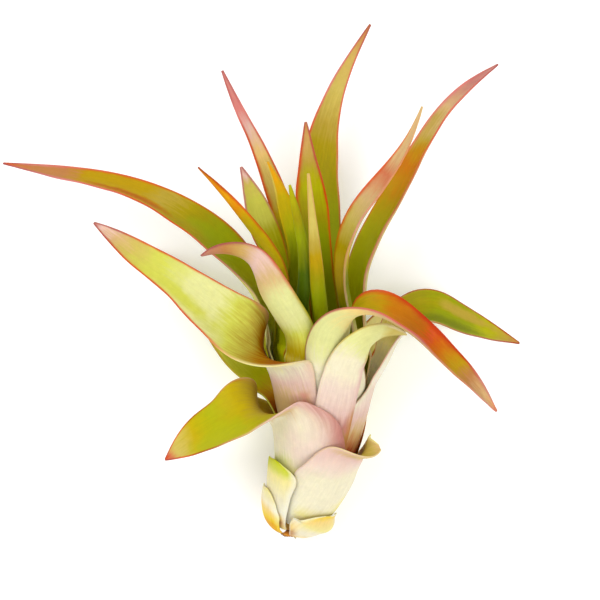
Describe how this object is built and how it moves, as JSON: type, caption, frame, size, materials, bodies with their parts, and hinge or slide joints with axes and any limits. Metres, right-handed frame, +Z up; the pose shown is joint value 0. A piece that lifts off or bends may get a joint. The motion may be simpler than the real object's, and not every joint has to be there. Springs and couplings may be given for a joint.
{
  "type": "tillandsia air plant",
  "caption": "Air plant rosette lying on its side, with long channelled leaves that sheath a short stem and arch outward.",
  "frame": {"origin": "centre of the plant's box in X and Y, on the surface that it lies on", "axes": "+Z up from the surface; the stem's cut end points to -Y and the crown to +Y; +X to the right seen from above"},
  "size_m": [0.1323, 0.1322, 0.0543],
  "materials": {
    "green_leaf": "satin leaf skin with a fine grey scale, green to olive, redder at its margins and tip",
    "blushed_leaf": "satin leaf skin, cream and pink at its sheath, lime and olive above, rosy margins",
    "red_leaf": "satin leaf skin flushed red to orange",
    "cream_bract": "papery cream leaf base with yellow and pink patches",
    "dried_leaf": "dry matt brown leaf scrap",
    "dried_stem": "dry matt stem end and root"
  },
  "bodies": {
    "root": {"stem": "dried_stem", "dried_shred": "dried_leaf", "dried_root": "dried_stem", "bract_01_right_lobe": "cream_bract", "bract_02_left_lobe": "cream_bract", "bract_03_under": "cream_bract", "bract_04_green_left": "cream_bract", "leaf_01_curled_bract": "cream_bract", "leaf_02_lower_left": "blushed_leaf", "leaf_03_under_right": "green_leaf", "leaf_04_front": "blushed_leaf", "leaf_05_under_left": "green_leaf", "leaf_06_right": "green_leaf", "leaf_07_broad_left": "blushed_leaf", "leaf_08_under_top": "green_leaf", "leaf_09_arched_right": "blushed_leaf", "leaf_10_long_left": "green_leaf", "leaf_11_tall_right": "green_leaf", "leaf_12_curled_front": "blushed_leaf", "leaf_13_tall_back": "green_leaf", "leaf_14_back_left": "green_leaf", "leaf_15_slim_right": "green_leaf", "leaf_16_red_left": "red_leaf", "leaf_17_orange_left": "red_leaf", "leaf_18_inner_back": "red_leaf", "leaf_19_inner_left": "red_leaf", "leaf_20_heart_left": "green_leaf", "leaf_21_heart_front": "blushed_leaf"}
  },
  "joints": []
}
